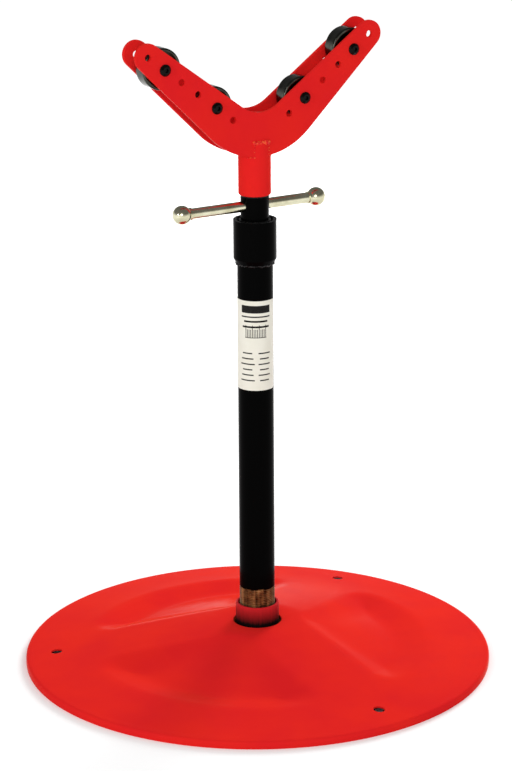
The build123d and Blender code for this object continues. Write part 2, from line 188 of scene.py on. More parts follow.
# Colours in linear red, green and blue, mostly as a pair of tones to mix
RED_TONES = ((0.75, 0.015, 0.018), (0.80, 0.019, 0.016))
# Painted shade: near black at the collar's foot
FOOT_SHADE_TONE = (0.003, 0.002, 0.002)
# Weld red, and the orange of the painted glints on the beads
WELD_GLINT_TONES = ((0.75, 0.017, 0.018), (0.90, 0.115, 0.035))
# Collar red, and the near black of the painted shade at its foot
COLLAR_AND_SHADE_TONES = ((0.72, 0.022, 0.028), (0.006, 0.003, 0.003))
BLACK_TONES = ((0.0012, 0.0012, 0.0012), (0.008, 0.0075, 0.007))
PLATED_TONES = ((0.55, 0.52, 0.34), (0.78, 0.76, 0.58))
TREAD_TONES = ((0.030, 0.031, 0.026), (0.085, 0.088, 0.072))
ROLLER_SIDE_TONES = ((0.020, 0.013, 0.009), (0.07, 0.050, 0.035))
THREAD_TONES = ((0.07, 0.030, 0.010), (0.66, 0.42, 0.20))
OXIDE_TONES = ((0.0012, 0.0011, 0.001), (0.005, 0.004, 0.003))
BRONZE_TONES = ((0.22, 0.13, 0.07), (0.45, 0.30, 0.15))
FILM_TONES = ((0.83, 0.82, 0.70), (0.88, 0.87, 0.77))
INK_TONES = ((0.004, 0.004, 0.004), (0.03, 0.029, 0.025))
FLOOR_TONE = (0.93, 0.93, 0.93)
RED_SHEEN = 0.11
RED_SHEEN_TINT = (1.0, 0.22, 0.0)
BLACK_SHEEN = 0.09

# Depth of the texture of each finish
RED_PEEL = 0.02 * MM
BLACK_PEEL = 0.03 * MM
BLACK_WELD_PEEL = 0.25 * MM
COLLAR_RUN_DEPTH = 0.05 * MM
DRAWN_LINE_DEPTH = 0.01 * MM
TURNED_LINE_DEPTH = 0.004 * MM
THREAD_STREAK_DEPTH = 0.03 * MM
BRONZE_GRAIN_DEPTH = 0.03 * MM

# Collar
COLLAR_RADIUS = collar_high.x
COLLAR_BORE = POST_RADIUS + 0.1 * MM
COLLAR_MOUTH = POST_RADIUS + 2.2 * MM
COLLAR_MOUTH_DEPTH = 6.0 * MM
COLLAR_ROUND = 0.8 * MM

# Rollers
roller_low, roller_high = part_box("roller_left_inner")
ROLLER_RADIUS = (roller_high.z - roller_low.z) / 2
ROLLER_TREAD_RADIUS = ROLLER_RADIUS - 3.0 * MM
ROLLER_SIDE_RADIUS = ROLLER_TREAD_RADIUS - 0.8 * MM

# Head
neck_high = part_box("head_neck")[1]
front_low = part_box("front_plate")[0]
NECK_RADIUS = neck_high.x
PLATE_OUTER = -front_low.y
BELLY_RADIUS = 90.0 * MM
BELLY_WELD_REACH = 15.5 * MM
BELLY_WELD_STEPS = 3

# Soft light, and how bright the floor, the walls and the ceiling look
SOFT_LIGHT = 0.60
NEAR_GLOW = 0.16
FAR_GLOW = 0.48
FLOOR_SIZE = 60
FLOOR_FADE = 0.015
FLOOR_NEAR = 0.5
FLOOR_FAR = 2.5
WALL_TOP = 0.02
CEILING_EDGE = 0.28
CEILING_LIGHT = 0.16

# Camera, its aim and its lens
CAMERA_PLACE = Vector((-1.59804, -2.77673, 1.32809))
CAMERA_AIM = Vector((0.0001, 0.0, 0.33961))
CAMERA_ROLL = radians(-0.367)
FOCAL_LENGTH = 133.08
IMAGE_LONG_SIDE = 36.0
CAMERA_REACH = 100


# Modelling helpers

def clear_selection():
    """Leave edit mode and select nothing."""
    if bpy.context.mode != "OBJECT":
        bpy.ops.object.mode_set(mode="OBJECT")
    bpy.ops.object.select_all(action="DESELECT")


def pick(piece):
    """Select one piece alone and make it active."""
    clear_selection()
    piece.select_set(True)
    bpy.context.view_layer.objects.active = piece


def edit(piece, element="VERT"):
    """Open a piece in edit mode with nothing selected."""
    pick(piece)
    bpy.ops.object.mode_set(mode="EDIT")
    bpy.ops.mesh.select_mode(type=element)
    bpy.ops.mesh.select_all(action="DESELECT")


def select_all_of_it():
    """Select the whole of the piece that is open."""
    bpy.ops.mesh.select_all(action="SELECT")


def select_vertices(piece, test):
    """Select the vertices of the open piece whose place passes a test."""
    mesh = bmesh.from_edit_mesh(piece.data)
    for vertex in mesh.verts:
        vertex.select_set(test(vertex.co))
    mesh.select_flush_mode()
    bmesh.update_edit_mesh(piece.data)


def tidy_mesh(piece):
    """Merge doubles and point every face outwards."""
    edit(piece)
    select_all_of_it()
    bpy.ops.mesh.remove_doubles(threshold=MERGE_DISTANCE)
    bpy.ops.mesh.normals_make_consistent(inside=False)
    clear_selection()


def apply_modifiers(piece):
    """Apply all modifiers of a piece, first to last."""
    pick(piece)
    for modifier in list(piece.modifiers):
        bpy.ops.object.modifier_apply(modifier=modifier.name)


def add_solidify(piece, thickness, offset):
    """Give a surface its thickness, inwards with an offset of -1 and outwards with 1."""
    modifier = piece.modifiers.new("Sheet", "SOLIDIFY")
    modifier.thickness = thickness
    modifier.offset = offset
    modifier.use_even_offset = True


def join_pieces(pieces, name):
    """Join several pieces into one with a name."""
    clear_selection()
    for piece in pieces:
        piece.select_set(True)
    bpy.context.view_layer.objects.active = pieces[0]
    bpy.ops.object.join()
    joined = bpy.context.object
    joined.name = name
    joined.data.name = name
    return joined


def extrude_ring(ring, next_ring):
    """Extrude the selected ring of edges to the radius and height of the next ring."""
    radius, height = ring
    next_radius, next_height = next_ring
    bpy.ops.mesh.extrude_edges_move()
    bpy.ops.transform.resize(value=(next_radius / radius, next_radius / radius, 1))
    bpy.ops.transform.translate(value=(0, 0, next_height - height))


def add_turned(section, sides, bored=True):
    """Turned piece: a circle extruded through its section, given as radius and height.

    A bored piece's section closes on itself, and a solid one gets a face at each end.
    """
    clear_selection()
    radius, height = section[0]
    bpy.ops.mesh.primitive_circle_add(vertices=sides, radius=radius, location=(0, 0, height))
    piece = bpy.context.object
    bpy.ops.object.transform_apply(location=True, rotation=False, scale=False)
    edit(piece, "EDGE")
    select_all_of_it()
    rings = section + section[:1] if bored else section
    for ring, next_ring in zip(rings, rings[1:]):
        extrude_ring(ring, next_ring)
    if not bored:
        select_all_of_it()
        bpy.ops.mesh.fill_holes(sides=sides)
    tidy_mesh(piece)
    return piece


def add_thread_ridge(root, crest, pitch, flat, low, high):
    """Ridge of a thread: its section screwed round the axis, with closed ends."""
    clear_selection()
    bpy.ops.mesh.primitive_plane_add(size=1, rotation=(pi / 2, 0, 0))
    ridge = bpy.context.object
    bpy.ops.object.transform_apply(location=False, rotation=True, scale=False)
    edit(ridge)
    select_all_of_it()
    bpy.ops.transform.resize(value=(crest - root, 1, THREAD_FILL * pitch))
    select_vertices(ridge, lambda place: place.x > 0)
    bpy.ops.transform.resize(value=(1, 1, flat))
    select_all_of_it()
    bpy.ops.transform.translate(value=((crest + root) / 2, 0, low + pitch / 2))
    bpy.ops.mesh.delete(type="ONLY_FACE")
    clear_selection()
    helix = ridge.modifiers.new("Helix", "SCREW")
    helix.axis = "Z"
    helix.angle = 2 * pi
    helix.screw_offset = pitch
    helix.iterations = int((high - low) / pitch) - 1
    helix.steps = THREAD_STEPS
    helix.render_steps = THREAD_STEPS
    apply_modifiers(ridge)
    edit(ridge)
    bpy.ops.mesh.select_non_manifold()
    bpy.ops.mesh.fill_holes(sides=4)
    tidy_mesh(ridge)
    return ridge


def settle(piece, name, body, material, smooth_angle=SMOOTH_ANGLE):
    """Put a piece's place into its mesh, shade it, dress it and let it ride on its body."""
    piece.name = name
    piece.data.name = name
    pick(piece)
    bpy.ops.object.transform_apply(location=True, rotation=True, scale=True)
    bpy.ops.object.shade_smooth_by_angle(angle=radians(smooth_angle))
    piece.data.materials.clear()
    piece.data.materials.append(material)
    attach(piece, body)
    clear_selection()


# Materials

def new_finish(name, colour, roughness, metallic=0.0, specular=0.5):
    """A material with its tree and its shader."""
    material = bpy.data.materials.new(name)
    material.use_nodes = True
    tree = material.node_tree
    shader = tree.nodes["Principled BSDF"]
    shader.inputs["Base Color"].default_value = (*colour, 1)
    shader.inputs["Roughness"].default_value = roughness
    shader.inputs["Metallic"].default_value = metallic
    shader.inputs["Specular IOR Level"].default_value = specular
    return material, tree, shader


def object_place(tree, centre=(0, 0, 0)):
    """Object coordinates, centred on a point of the piece."""
    coordinates = tree.nodes.new("ShaderNodeTexCoord")
    mapping = tree.nodes.new("ShaderNodeMapping")
    mapping.inputs["Location"].default_value = [-c for c in centre]
    tree.links.new(coordinates.outputs["Object"], mapping.inputs["Vector"])
    return mapping.outputs["Vector"]


def add_stretch(tree, place, scale):
    """Coordinates scaled unevenly, so that a texture is drawn out along an axis."""
    mapping = tree.nodes.new("ShaderNodeMapping")
    mapping.inputs["Scale"].default_value = scale
    tree.links.new(place, mapping.inputs["Vector"])
    return mapping.outputs["Vector"]


def add_noise(tree, place, scale, detail=3.0, roughness=0.5):
    """Cloudy texture between nought and one."""
    texture = tree.nodes.new("ShaderNodeTexNoise")
    texture.inputs["Scale"].default_value = scale
    texture.inputs["Detail"].default_value = detail
    texture.inputs["Roughness"].default_value = roughness
    tree.links.new(place, texture.inputs["Vector"])
    return texture.outputs["Fac"]


def add_range(tree, value, low, high, to_low=0.0, to_high=1.0):
    """Value mapped from one range to another."""
    node = tree.nodes.new("ShaderNodeMapRange")
    node.inputs["From Min"].default_value = low
    node.inputs["From Max"].default_value = high
    node.inputs["To Min"].default_value = to_low
    node.inputs["To Max"].default_value = to_high
    tree.links.new(value, node.inputs["Value"])
    return node.outputs["Result"]


def add_mix(tree, factor, first, second):
    """Colour between two colours."""
    node = tree.nodes.new("ShaderNodeMix")
    node.data_type = "RGBA"
    tree.links.new(factor, node.inputs["Factor"])
    for socket, colour in zip([s for s in node.inputs if s.type == "RGBA"], (first, second)):
        if isinstance(colour, tuple):
            socket.default_value = (*colour, 1)
        else:
            tree.links.new(colour, socket)
    return [s for s in node.outputs if s.type == "RGBA"][0]


def add_math(tree, operation, first, second):
    """Number worked out from a value and a second one, which may be a constant."""
    node = tree.nodes.new("ShaderNodeMath")
    node.operation = operation
    tree.links.new(first, node.inputs[0])
    if isinstance(second, float):
        node.inputs[1].default_value = second
    else:
        tree.links.new(second, node.inputs[1])
    return node.outputs["Value"]


def add_length(tree, place, axes=(1, 1, 1)):
    """Distance from the origin along the axes that are kept."""
    kept = tree.nodes.new("ShaderNodeVectorMath")
    kept.operation = "MULTIPLY"
    kept.inputs[1].default_value = axes
    length = tree.nodes.new("ShaderNodeVectorMath")
    length.operation = "LENGTH"
    tree.links.new(place, kept.inputs[0])
    tree.links.new(kept.outputs["Vector"], length.inputs[0])
    return length.outputs["Value"]


def add_part(tree, place, axis):
    """One of the three coordinates of a place."""
    split = tree.nodes.new("ShaderNodeSeparateXYZ")
    tree.links.new(place, split.inputs["Vector"])
    return split.outputs[axis]


def add_joined(tree, first, second=None):
    """Coordinates made of one or two values."""
    joined = tree.nodes.new("ShaderNodeCombineXYZ")
    tree.links.new(first, joined.inputs["X"])
    if second:
        tree.links.new(second, joined.inputs["Y"])
    return joined.outputs["Vector"]


def add_circle_distance(tree, place, radius, height):
    """Distance from a level circle round the post's axis."""
    away = add_math(tree, "SUBTRACT", add_length(tree, place, (1, 1, 0)), radius)
    above = add_math(tree, "SUBTRACT", add_part(tree, place, "Z"), height)
    return add_length(tree, add_joined(tree, away, above))


def add_bump(tree, shader, height, distance):
    """Raise the surface by a texture, by at most a distance."""
    bump = tree.nodes.new("ShaderNodeBump")
    bump.inputs["Distance"].default_value = distance
    tree.links.new(height, bump.inputs["Height"])
    tree.links.new(bump.outputs["Normal"], shader.inputs["Normal"])


def tint(tree, shader, factor, tones):
    """Give the shader a colour between two tones."""
    tree.links.new(add_mix(tree, factor, *tones), shader.inputs["Base Color"])


def roughen(tree, shader, value, low, high, smooth, rough):
    """Make the shader rougher as a value goes from low to high."""
    tree.links.new(add_range(tree, value, low, high, smooth, rough), shader.inputs["Roughness"])


def add_sheen(shader, weight, roughness, colour=(1, 1, 1)):
    """Brighter edges where the surface turns away."""
    shader.inputs["Sheen Weight"].default_value = weight
    shader.inputs["Sheen Roughness"].default_value = roughness
    shader.inputs["Sheen Tint"].default_value = (*colour, 1)


def make_red_enamel():
    """Red enamel with orange peel and a warm sheen, and painted shade that blackens it round the
    hole in the dish, at the collar's foot.
    """
    material, tree, shader = new_finish("red_enamel", RED_TONES[0], 0.14, specular=0.003)
    add_sheen(shader, RED_SHEEN, 0.4, RED_SHEEN_TINT)
    place = object_place(tree)
    # Painted shade: black close to the collar's foot, fading out a few millimetres away
    distance = add_circle_distance(tree, place, FOOT_SHADE_RADIUS, FOOT_SHADE_HEIGHT)
    uneven = add_math(tree, "MULTIPLY", add_noise(tree, place, 160.0), FOOT_SHADE_UNEVEN)
    reach = add_math(tree, "ADD", distance, uneven)
    foot_shade = add_range(tree, reach, FOOT_SHADE_BLACK, FOOT_SHADE_FADED, 1.0, 0.0)
    mottle = add_range(tree, add_noise(tree, place, 14.0, 4.0), 0.35, 0.65)
    tint(tree, shader, foot_shade, (add_mix(tree, mottle, *RED_TONES), FOOT_SHADE_TONE))
    wear = add_range(tree, add_noise(tree, place, 60.0, 5.0), 0.3, 0.7, 0.09, 0.21)
    tree.links.new(add_math(tree, "MAXIMUM", wear, foot_shade), shader.inputs["Roughness"])
    add_bump(tree, shader, add_noise(tree, place, 420.0, 2.0), RED_PEEL)
    return material


def make_weld_enamel():
    """Red enamel with scattered orange patches that are painted glints on the beads."""
    material, tree, shader = new_finish("weld_enamel", WELD_GLINT_TONES[0], 0.24, specular=0.1)
    place = object_place(tree)
    # Painted glint: orange patches that stand in for warm highlights on the beads
    glint_patches = add_range(tree, add_noise(tree, place, 330.0, 2.0), 0.5, 0.66)
    tint(tree, shader, glint_patches, WELD_GLINT_TONES)
    roughen(tree, shader, add_noise(tree, place, 200.0), 0.3, 0.7, 0.2, 0.32)
    return material


def make_collar_enamel():
    """Red enamel streaked by oil runs, with painted shade that darkens it towards its foot and
    turns it black where it stands in the dish's hole.
    """
    material, tree, shader = new_finish("collar_enamel", COLLAR_AND_SHADE_TONES[0], 0.4, specular=0.03)
    place = object_place(tree)
    runs = add_noise(tree, add_stretch(tree, place, (1.0, 1.0, 0.12)), 300.0, 4.0)
    # Painted shade: darker down the collar and black at its foot, its edge wandering with the runs
    uneven = add_math(tree, "MULTIPLY", runs, FOOT_SHADE_RUN)
    height = add_math(tree, "ADD", add_part(tree, place, "Z"), uneven)
    foot_shade = add_range(tree, height, COLLAR_SHADE_BLACK, COLLAR_SHADE_END, 1.0, 0.0)
    tint(tree, shader, foot_shade, COLLAR_AND_SHADE_TONES)
    roughen(tree, shader, foot_shade, 0.0, 1.0, 0.32, 0.6)
    add_bump(tree, shader, runs, COLLAR_RUN_DEPTH)
    return material


def make_black_enamel(name, specular, peel):
    """Glossy black enamel with orange peel and a little dust."""
    material, tree, shader = new_finish(name, BLACK_TONES[0], 0.12, specular=specular)
    add_sheen(shader, BLACK_SHEEN, 0.25)
    place = object_place(tree)
    specks = add_range(tree, add_noise(tree, place, 900.0, 2.0), 0.70, 0.82)
    tint(tree, shader, specks, BLACK_TONES)
    roughen(tree, shader, add_noise(tree, place, 90.0, 6.0, 0.65), 0.35, 0.8, 0.10, 0.24)
    add_bump(tree, shader, add_noise(tree, place, 380.0, 2.0), peel)
    return material


def make_plated_steel():
    """Zinc-plated steel with a faint yellow passivate and fine drawn lines along X."""
    material, tree, shader = new_finish("plated_steel", PLATED_TONES[0], 0.14, metallic=1.0)
    place = object_place(tree)
    cloud = add_range(tree, add_noise(tree, place, 45.0, 4.0), 0.35, 0.65)
    tint(tree, shader, cloud, PLATED_TONES)
    lines = add_noise(tree, add_stretch(tree, place, (0.02, 1.0, 1.0)), 2500.0)
    roughen(tree, shader, lines, 0.3, 0.7, 0.12, 0.26)
    add_bump(tree, shader, lines, DRAWN_LINE_DEPTH)
    return material


def add_turned_lines(tree, along):
    """Fine uneven lines across a distance along the piece."""
    lines = tree.nodes.new("ShaderNodeTexWave")
    lines.inputs["Scale"].default_value = 700.0
    lines.inputs["Distortion"].default_value = 1.5
    lines.inputs["Detail"].default_value = 3.0
    tree.links.new(add_joined(tree, along), lines.inputs["Vector"])
    return lines.outputs["Fac"]


def make_roller_steel(name, centre):
    """Dark oiled steel with turned lines round the tread and rings on the browner sides."""
    material, tree, shader = new_finish(name, TREAD_TONES[0], 0.22, metallic=1.0)
    place = object_place(tree, centre)
    away = add_length(tree, place, (1, 0, 1))
    film = add_range(tree, add_noise(tree, place, 90.0, 5.0), 0.35, 0.7)
    tread = add_mix(tree, film, *TREAD_TONES)
    side = add_mix(tree, film, *ROLLER_SIDE_TONES)
    on_side = add_range(tree, away, ROLLER_SIDE_RADIUS, ROLLER_TREAD_RADIUS, 1.0, 0.0)
    tint(tree, shader, on_side, (tread, side))
    roughen(tree, shader, film, 0.0, 1.0, 0.12, 0.26)
    along = add_math(tree, "ADD", away, add_part(tree, place, "Y"))
    add_bump(tree, shader, add_turned_lines(tree, along), TURNED_LINE_DEPTH)
    return material


def make_thread_steel():
    """Bare steel browned by cutting oil, streaked along the post."""
    material, tree, shader = new_finish("thread_steel", THREAD_TONES[0], 0.36, metallic=1.0)
    place = object_place(tree)
    streak = add_noise(tree, add_stretch(tree, place, (1.0, 1.0, 0.06)), 260.0, 4.0)
    stain = add_noise(tree, place, 120.0, 5.0)
    tone = add_range(tree, add_math(tree, "ADD", streak, stain), 0.75, 1.3)
    tint(tree, shader, tone, THREAD_TONES)
    roughen(tree, shader, stain, 0.3, 0.7, 0.26, 0.48)
    add_bump(tree, shader, streak, THREAD_STREAK_DEPTH)
    return material


def make_black_oxide():
    """Black oxide with a film of oil."""
    material, tree, shader = new_finish("black_oxide", OXIDE_TONES[0], 0.14, specular=0.1)
    film = add_noise(tree, object_place(tree), 300.0, 4.0)
    tint(tree, shader, add_range(tree, film, 0.4, 0.75), OXIDE_TONES)
    roughen(tree, shader, film, 0.3, 0.7, 0.1, 0.24)
    return material


def make_bronze():
    """Sintered bronze, darkened by oil."""
    material, tree, shader = new_finish("sintered_bronze", BRONZE_TONES[0], 0.42, metallic=1.0)
    place = object_place(tree)
    stain = add_range(tree, add_noise(tree, place, 80.0, 4.0), 0.3, 0.7)
    tint(tree, shader, stain, BRONZE_TONES)
    add_bump(tree, shader, add_noise(tree, place, 1400.0, 2.0), BRONZE_GRAIN_DEPTH)
    return material


def make_label_film():
    """Off-white label film, slightly uneven in tone."""
    material, tree, shader = new_finish("label_film", FILM_TONES[0], 0.4, specular=0.25)
    place = object_place(tree)
    tone = add_range(tree, add_noise(tree, place, 50.0, 4.0), 0.3, 0.7)
    tint(tree, shader, tone, FILM_TONES)
    roughen(tree, shader, add_noise(tree, place, 300.0), 0.3, 0.7, 0.34, 0.5)
    return material


def make_label_ink():
    """Black printing ink that lets a little of the film through."""
    material, tree, shader = new_finish("label_ink", INK_TONES[0], 0.5, specular=0.1)
    tone = add_range(tree, add_noise(tree, object_place(tree), 1500.0, 2.0), 0.4, 0.8)
    tint(tree, shader, tone, INK_TONES)
    return material


# Finishes by the name of their slot, and the ones that scene pieces alone have
FINISHES = {
    "red_paint": make_red_enamel(),
    "black_paint": make_black_enamel("black_enamel", 0.012, BLACK_PEEL),
    "bright_steel": make_plated_steel(),
    "oiled_steel": make_thread_steel(),
    "black_oxide": make_black_oxide(),
    "bronze": make_bronze(),
    "weld_paint": make_weld_enamel(),
    "black_weld": make_black_enamel("black_weld_enamel", 0.22, BLACK_WELD_PEEL),
    "collar_paint": make_collar_enamel(),
    "label_film": make_label_film(),
    "label_ink": make_label_ink(),
}


def dress_cad_nodes():
    """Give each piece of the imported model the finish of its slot."""
    slots = {entry["node"]: entry["material_slot"] for entry in frame["record"]["subparts"]}
    for name, node in frame["nodes"].items():
        if slots[name] == "roller_steel":
            low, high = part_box(name)
            finish = make_roller_steel(f"{name}_steel", (low + high) / 2)
        else:
            finish = FINISHES[slots[name]]
        node.data.materials.clear()
        node.data.materials.append(finish)


# Pressed dish

def soft_low(first, second, width):
    """The lower of two heights, rounded where they cross."""
    near = max(width - abs(first - second), 0) / width
    return min(first, second) - near * near * width / 4


def soft_high(first, second, width):
    """The higher of two heights, rounded where they cross."""
    return -soft_low(-first, -second, width)


def rounded_corner(first_margin, second_margin, radius):
    """Distance inside a corner of two edges, from the distance inside each one."""
    first_short = max(radius - first_margin, 0)
    second_short = max(radius - second_margin, 0)
    if first_short == second_short == 0:
        return min(first_margin, second_margin)
    return radius - hypot(first_short, second_short)


def inside_petal(along, across):
    """Distance inside a petal's rounded fan outline, negative outside it."""
    half = pi / RIB_COUNT
    left = along * sin(half) - across * cos(half) - RIB_HALF_WIDTH
    right = along * sin(half) + across * cos(half) - RIB_HALF_WIDTH
    sides = rounded_corner(left, right, PETAL_APEX_ROUND)
    return rounded_corner(sides, PETAL_OUTER - hypot(along, across), PETAL_CORNER_ROUND)


def dish_height(x, y):
    """Height of the dish's upper face at a place."""
    radius = hypot(x, y)
    rib_slope = (CROWN_HEIGHT - PETAL_EDGE_HEIGHT) / (RIB_FOOT - CROWN_RADIUS)
    rim_slope = (PETAL_EDGE_HEIGHT - RIM_HEIGHT) / (RIM_RADIUS - RIB_FOOT)
    rib = CROWN_HEIGHT - rib_slope * (radius - CROWN_RADIUS)
    border = RIM_HEIGHT + rim_slope * (RIM_RADIUS - radius)
    form = soft_low(CROWN_HEIGHT, soft_high(rib, border, SOFT_CREST), SOFT_CREST)

    rib_spacing = 2 * pi / RIB_COUNT
    turn = (atan2(y, x) - RIB_START) % rib_spacing - rib_spacing / 2
    along = radius * cos(turn)
    across = radius * sin(turn)
    wall = rib - PETAL_WALL_SLOPE * inside_petal(along, across)
    floor = PETAL_EDGE_HEIGHT - PETAL_FLOOR_DROP
    floor += PETAL_FLOOR_SLOPE * (PETAL_OUTER - PETAL_CORNER_ROUND - radius)
    lip_share = max(HUB_HOLE + HUB_LIP - radius, 0) / HUB_LIP
    lip_drop = HUB_LIP * (1 - sqrt(max(1 - lip_share * lip_share, 0)))
    return soft_low(form, soft_high(wall, floor, SOFT_FLOOR), SOFT_CREST) - lip_drop


def dish_rings():
    """Radius and height of each ring from the rim inwards, with the inner ones still level."""
    slope = (PETAL_EDGE_HEIGHT - RIM_HEIGHT) / (RIM_RADIUS - RIB_FOOT)
    bend_height = RIM_HEIGHT + RIM_BEND * slope - RIM_BEND * sqrt(1 + slope * slope)
    rings = [(RIM_RADIUS, 0), (RIM_RADIUS, bend_height / 2), (RIM_RADIUS, bend_height)]
    for k in range(1, BEND_STEPS + 1):
        turn = (pi / 2 - slope) * k / BEND_STEPS
        radius = RIM_RADIUS - RIM_BEND * (1 - cos(turn))
        rings.append((radius, bend_height + RIM_BEND * sin(turn)))
    outer, level = rings[-1]
    inner = HUB_HOLE + HUB_LIP
    steps = round((outer - inner) / DISH_RING_STEP)
    for k in range(1, steps + 1):
        rings.append((outer - (outer - inner) * k / steps, level))
    for k in range(1, HUB_LIP_STEPS + 1):
        rings.append((inner - HUB_LIP * sin(pi / 2 * k / HUB_LIP_STEPS), level))
    return rings


def press_dish(dish, bend_inner):
    """Press all that lies inside the rim's bend to the dish's form."""
    for vertex in dish.data.vertices:
        if hypot(vertex.co.x, vertex.co.y) < bend_inner - PRESS_MARGIN:
            vertex.co.z = dish_height(vertex.co.x, vertex.co.y)


def seat_dish(dish):
    """Keep the sheet round the hub's hole above the hub plate."""
    for vertex in dish.data.vertices:
        if hypot(vertex.co.x, vertex.co.y) < HUB_HOLE + SHEET + HUB_LIP:
            vertex.co.z = max(vertex.co.z, HUB_PLATE_TOP)


def punch_anchor_holes(dish):
    """One hole through the sheet in line with each rib."""
    for k in range(RIB_COUNT):
        turn = RIB_START + 2 * pi * k / RIB_COUNT
        place = (ANCHOR_CIRCLE * cos(turn), ANCHOR_CIRCLE * sin(turn), 0)
        clear_selection()
        bpy.ops.mesh.primitive_cylinder_add(
            vertices=ANCHOR_HOLE_SIDES, radius=ANCHOR_HOLE, depth=PUNCH_LENGTH, location=place
        )
        punch = bpy.context.object
        cut = dish.modifiers.new("Hole", "BOOLEAN")
        cut.object = punch
        cut.solver = "EXACT"
        apply_modifiers(dish)
        bpy.data.objects.remove(punch)


def make_pressed_dish():
    """Dish extruded ring by ring from its rim inwards, pressed, and given its sheet and holes."""
    bpy.ops.mesh.primitive_circle_add(vertices=DISH_SECTORS, radius=RIM_RADIUS)
    dish = bpy.context.object
    edit(dish, "EDGE")
    select_all_of_it()
    rings = dish_rings()
    for ring, next_ring in zip(rings, rings[1:]):
        extrude_ring(ring, next_ring)
    clear_selection()
    press_dish(dish, rings[BEND_STEPS + 2][0])
    tidy_mesh(dish)
    if dish.data.polygons[-1].normal.z < 0:
        edit(dish)
        select_all_of_it()
        bpy.ops.mesh.flip_normals()
        clear_selection()
    add_solidify(dish, SHEET, -1)
    apply_modifiers(dish)
    seat_dish(dish)
    punch_anchor_holes(dish)
    settle(dish, "pressed_dish", "stand", FINISHES["red_paint"], DISH_SMOOTH_ANGLE)
    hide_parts("base_dish")


# Collar, post and lift screw

def make_collar():
    """Threaded collar with a rounded rim and a counterbored mouth round the post's thread."""
    rim = collar_high.z - COLLAR_ROUND
    outer = COLLAR_RADIUS - COLLAR_ROUND
    collar = add_turned([
        (COLLAR_RADIUS, collar_low.z),
        (COLLAR_RADIUS, rim),
        (outer + COLLAR_ROUND * cos(pi / 6), rim + COLLAR_ROUND * sin(pi / 6)),
        (outer + COLLAR_ROUND * cos(pi / 3), rim + COLLAR_ROUND * sin(pi / 3)),
        (outer, collar_high.z),
        (COLLAR_MOUTH, collar_high.z),
        (COLLAR_MOUTH, collar_high.z - COLLAR_MOUTH_DEPTH),
        (COLLAR_BORE, collar_high.z - COLLAR_MOUTH_DEPTH - (COLLAR_MOUTH - COLLAR_BORE)),
        (COLLAR_BORE, collar_low.z),
    ], POST_SIDES)
    settle(collar, "threaded_collar", "stand", FINISHES["collar_paint"])
    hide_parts("base_collar")


def make_bare_post():
    """Steel pipe with its lower end turned down under the thread."""
    bare = POST_RADIUS - PAINT_FILM - PAINT_GAP
    root = POST_RADIUS - PIPE_THREAD_DEPTH
    inner = POST_RADIUS - POST_WALL
    thread_top = PAINT_EDGE + PIPE_THREAD_RUN_OUT
    post = add_turned([
        (root, post_low.z),
        (root, thread_top),
        (bare, thread_top + PIPE_THREAD_DEPTH),
        (bare, post_high.z),
        (inner, post_high.z),
        (inner, post_low.z),
    ], POST_SIDES)
    ridge = add_thread_ridge(
        root, POST_RADIUS - PAINT_GAP, PIPE_THREAD_PITCH, THREAD_FLAT, post_low.z, thread_top
    )
    post = join_pieces([post, ridge], "bare_post")
    settle(post, "bare_post", "stand", FINISHES["oiled_steel"])
    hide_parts("post_pipe")


def make_post_paint():
    """Film of black paint on the post, which ends in a slightly wavy edge above the thread."""
    inner = POST_RADIUS - PAINT_FILM
    top = coupling_low.z + PAINT_END_IN_COUPLING
    paint = add_turned([
        (POST_RADIUS, PAINT_EDGE), (POST_RADIUS, top), (inner, top), (inner, PAINT_EDGE)
    ], POST_SIDES)
    for vertex in paint.data.vertices:
        if vertex.co.z < coupling_low.z:
            turn = atan2(vertex.co.y, vertex.co.x)
            around = PAINT_EDGE_WAVES * Vector((cos(turn), sin(turn), 0))
            vertex.co.z += PAINT_EDGE_WAVE * noise.noise(around)
    settle(paint, "post_paint", "stand", FINISHES["black_paint"])


def make_lift_screw():
    """Lift screw: a core with its spigot below and a trapezoidal thread round it."""
    root = SCREW_RADIUS - SCREW_THREAD_DEPTH
    core = add_turned([
        (SCREW_SPIGOT_RADIUS, screw_low.z),
        (SCREW_SPIGOT_RADIUS, SCREW_SPIGOT_TOP),
        (root, SCREW_SPIGOT_TOP),
        (root, screw_high.z - SCREW_END_BEVEL),
        (root - SCREW_END_BEVEL, screw_high.z),
    ], SCREW_SIDES, bored=False)
    ridge = add_thread_ridge(
        root, SCREW_RADIUS, SCREW_PITCH, SCREW_THREAD_FLAT,
        SCREW_SPIGOT_TOP + SCREW_PITCH / 2, screw_high.z - SCREW_END_BEVEL
    )
    screw = join_pieces([core, ridge], "threaded_screw")
    settle(screw, "threaded_screw", "stand", FINISHES["oiled_steel"])
    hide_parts("lift_screw")


# Label

def add_wrapped_sheet(across, up, width, height, lift, thickness, corner=0):
    """Thin sheet bent round the post, with its middle across and up from the label's middle."""
    clear_selection()
    columns = max(round(width / SHEET_STEP), 1)
    rows = max(round(height / SHEET_STEP), 1) if corner else 1
    bpy.ops.mesh.primitive_grid_add(x_subdivisions=columns, y_subdivisions=rows, size=1)
    sheet = bpy.context.object
    for vertex in sheet.data.vertices:
        x = vertex.co.x * width
        y = vertex.co.y * height
        past_x = abs(x) - (width / 2 - corner)
        past_y = abs(y) - (height / 2 - corner)
        if corner and past_x > 0 and past_y > 0:
            share = max(past_x, past_y) / hypot(past_x, past_y)
            x -= (past_x - past_x * share) * (1 if x > 0 else -1)
            y -= (past_y - past_y * share) * (1 if y > 0 else -1)
        turn = LABEL_TURN + (across + x) / POST_RADIUS
        radius = POST_RADIUS + lift
        vertex.co = (radius * cos(turn), radius * sin(turn), LABEL_MIDDLE + up + y)
    add_solidify(sheet, thickness, 1)
    apply_modifiers(sheet)
    return sheet


